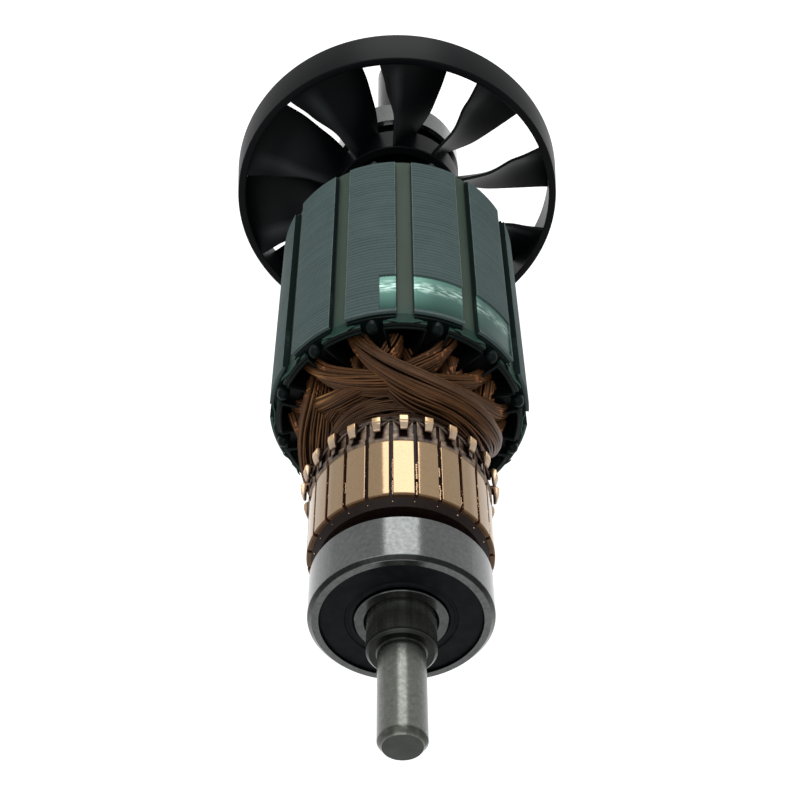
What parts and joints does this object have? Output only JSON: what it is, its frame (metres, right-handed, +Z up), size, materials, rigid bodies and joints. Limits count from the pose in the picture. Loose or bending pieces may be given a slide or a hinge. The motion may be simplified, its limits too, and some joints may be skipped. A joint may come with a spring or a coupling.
{
  "type": "motor armature",
  "caption": "Armature of a universal motor: shaft with laminated core, copper winding, hook commutator, ring fan and a sealed ball bearing at each end.",
  "frame": {"origin": "centre of the commutator bearing, on the shaft's axis", "axes": "+Y along the shaft from the commutator bearing to the fan and the output end, +Z up through the first slot as the picture shows it, +X to the right seen from the commutator end"},
  "size_m": [0.0768, 0.219, 0.0768],
  "materials": {
    "shaft_steel": "ground",
    "sleeve": "moulded",
    "core_steel": "varnished laminations",
    "liner": "varnished paper",
    "wedge": "varnished fibre",
    "insulator": "moulded",
    "copper_wire": "enamelled",
    "commutator_copper": "turned",
    "phenolic": "moulded",
    "bush_brass": "turned",
    "fan_plastic": "moulded",
    "bearing_steel": "ground",
    "ball_steel": "polished",
    "cage_steel": "pressed",
    "seal_rubber": "moulded"
  },
  "bodies": {
    "commutator_bearing_outer": {"commutator_bearing_outer_ring": "bearing_steel", "commutator_bearing_front_seal": "seal_rubber", "commutator_bearing_rear_seal": "seal_rubber"},
    "commutator_bearing_set": {"commutator_bearing_cage": "cage_steel", "commutator_bearing_balls": "ball_steel"},
    "rotor": {"shaft": "shaft_steel", "shaft_sleeve": "sleeve", "lamination_core": "core_steel", "slot_liners": "liner", "slot_wedges": "wedge", "front_end_insulator": "insulator", "rear_end_insulator": "insulator", "winding": "copper_wire", "commutator_bars": "commutator_copper", "commutator_hub": "phenolic", "commutator_bush": "bush_brass", "fan": "fan_plastic", "commutator_bearing_inner_ring": "bearing_steel", "drive_bearing_inner_ring": "bearing_steel"},
    "drive_bearing_set": {"drive_bearing_cage": "cage_steel", "drive_bearing_balls": "ball_steel"},
    "drive_bearing_outer": {"drive_bearing_outer_ring": "bearing_steel", "drive_bearing_front_seal": "seal_rubber", "drive_bearing_rear_seal": "seal_rubber"}
  },
  "joints": [
    {"name": "rotor_spin", "type": "hinge", "parent": "commutator_bearing_outer", "child": "rotor", "pos_m": [0, 0, 0], "axis": [0, 1, 0], "continuous": true},
    {"name": "commutator_cage_spin", "type": "hinge", "parent": "commutator_bearing_outer", "child": "commutator_bearing_set", "pos_m": [0, 0, 0], "axis": [0, 1, 0], "continuous": true},
    {"name": "drive_ring_spin", "type": "hinge", "parent": "rotor", "child": "drive_bearing_outer", "pos_m": [0, 0.1427, 0], "axis": [0, 1, 0], "continuous": true},
    {"name": "drive_cage_spin", "type": "hinge", "parent": "rotor", "child": "drive_bearing_set", "pos_m": [0, 0.1427, 0], "axis": [0, 1, 0], "continuous": true}
  ],
  "couplings": [
    {"joint": "commutator_cage_spin", "follows": "rotor_spin", "ratio": 0.3647},
    {"joint": "drive_cage_spin", "follows": "drive_ring_spin", "ratio": 0.6191}
  ]
}
